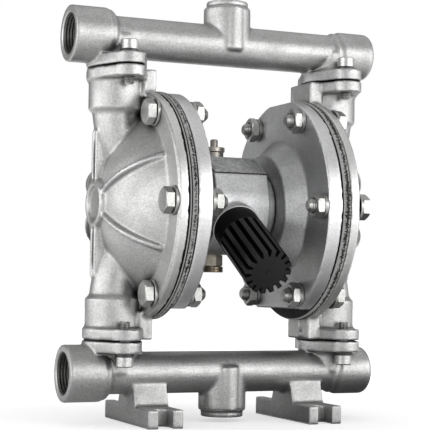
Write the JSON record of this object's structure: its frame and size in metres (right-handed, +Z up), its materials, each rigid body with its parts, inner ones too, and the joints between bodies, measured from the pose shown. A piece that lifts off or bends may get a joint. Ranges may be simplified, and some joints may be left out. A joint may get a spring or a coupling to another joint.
{
  "type": "air operated diaphragm pump",
  "caption": "Air operated double diaphragm pump with cast stainless manifolds and domed covers, an aluminium centre block, a finned black exhaust muffler and slotted feet.",
  "frame": {"origin": "on the plane under the feet, at the middle of the foot slot pattern, below the middle of the shaft", "axes": "+X along the shaft and manifolds towards the blind ends, -Y towards the exhaust muffler, +Z up"},
  "size_m": [0.1935, 0.1449, 0.2492],
  "materials": {
    "cast_stainless": "bead-blasted investment casting",
    "cast_aluminium": "matte sand-blasted casting",
    "label_metal": "satin sheet",
    "bright_ring": "turned",
    "black_plastic": "satin moulded",
    "cut_rubber": "cut edge, fabric reinforced",
    "machined_aluminium": "turned",
    "machined_steel": "turned",
    "bronze": "turned",
    "plated_brass": "dull nickel over brass",
    "fastener_steel": "bright stainless",
    "gasket_rubber": "moulded",
    "white_ptfe": "smooth"
  },
  "bodies": {
    "pump_body": {"air_chamber_left": "cast_aluminium", "air_chamber_right": "cast_aluminium", "center_body": "cast_aluminium", "chamber_bolts": "fastener_steel", "chamber_head_washers": "fastener_steel", "chamber_nut_washers": "fastener_steel", "chamber_nuts": "fastener_steel", "diaphragm_edge_left": "cut_rubber", "diaphragm_edge_right": "cut_rubber", "diaphragm_web_left": "cut_rubber", "diaphragm_web_right": "cut_rubber", "exhaust_muffler": "black_plastic", "exhaust_ring": "bright_ring", "flange_gaskets": "gasket_rubber", "flange_screws": "fastener_steel", "fluid_cover_left": "cast_stainless", "fluid_cover_right": "cast_stainless", "inlet_manifold": "cast_stainless", "label_plate": "label_metal", "outlet_manifold": "cast_stainless", "shaft_bushes": "bronze", "spring_washers": "fastener_steel", "valve_cap": "machined_steel", "valve_plug": "plated_brass", "valve_seats": "white_ptfe", "valve_sleeve": "bronze"},
    "shaft_assembly": {"diaphragm_shaft": "machined_steel", "inner_plate_left": "machined_aluminium", "inner_plate_right": "machined_aluminium", "outer_plate_left": "machined_steel", "outer_plate_right": "machined_steel", "shaft_nuts": "fastener_steel"},
    "spool": {"valve_spool": "machined_steel"},
    "stem": {"reset_stem": "machined_steel"},
    "outlet_left_ball": {"outlet_left_ball": "white_ptfe"},
    "outlet_right_ball": {"outlet_right_ball": "white_ptfe"},
    "inlet_left_ball": {"inlet_left_ball": "white_ptfe"},
    "inlet_right_ball": {"inlet_right_ball": "white_ptfe"}
  },
  "joints": [
    {"name": "shaft_stroke", "type": "slide", "parent": "pump_body", "child": "shaft_assembly", "axis": [1, 0, 0], "range_m": [-0.004, 0.004], "deforming": ["diaphragm_web_left", "diaphragm_web_right"]},
    {"name": "outlet_left_ball_lift", "type": "slide", "parent": "pump_body", "child": "outlet_left_ball", "axis": [0, 0, 1], "range_m": [0, 0.0045]},
    {"name": "outlet_right_ball_lift", "type": "slide", "parent": "pump_body", "child": "outlet_right_ball", "axis": [0, 0, 1], "range_m": [0, 0.0045]},
    {"name": "inlet_left_ball_lift", "type": "slide", "parent": "pump_body", "child": "inlet_left_ball", "axis": [0, 0, 1], "range_m": [0, 0.0045]},
    {"name": "inlet_right_ball_lift", "type": "slide", "parent": "pump_body", "child": "inlet_right_ball", "axis": [0, 0, 1], "range_m": [0, 0.0045]},
    {"name": "spool_shift", "type": "slide", "parent": "pump_body", "child": "spool", "axis": [0, 0, 1], "range_m": [-0.004, 0.004]},
    {"name": "reset_press", "type": "slide", "parent": "pump_body", "child": "stem", "axis": [0, 0, 1], "range_m": [-0.0024, 0], "stiffness_N_per_m": 200, "springref_m": 0.001}
  ]
}
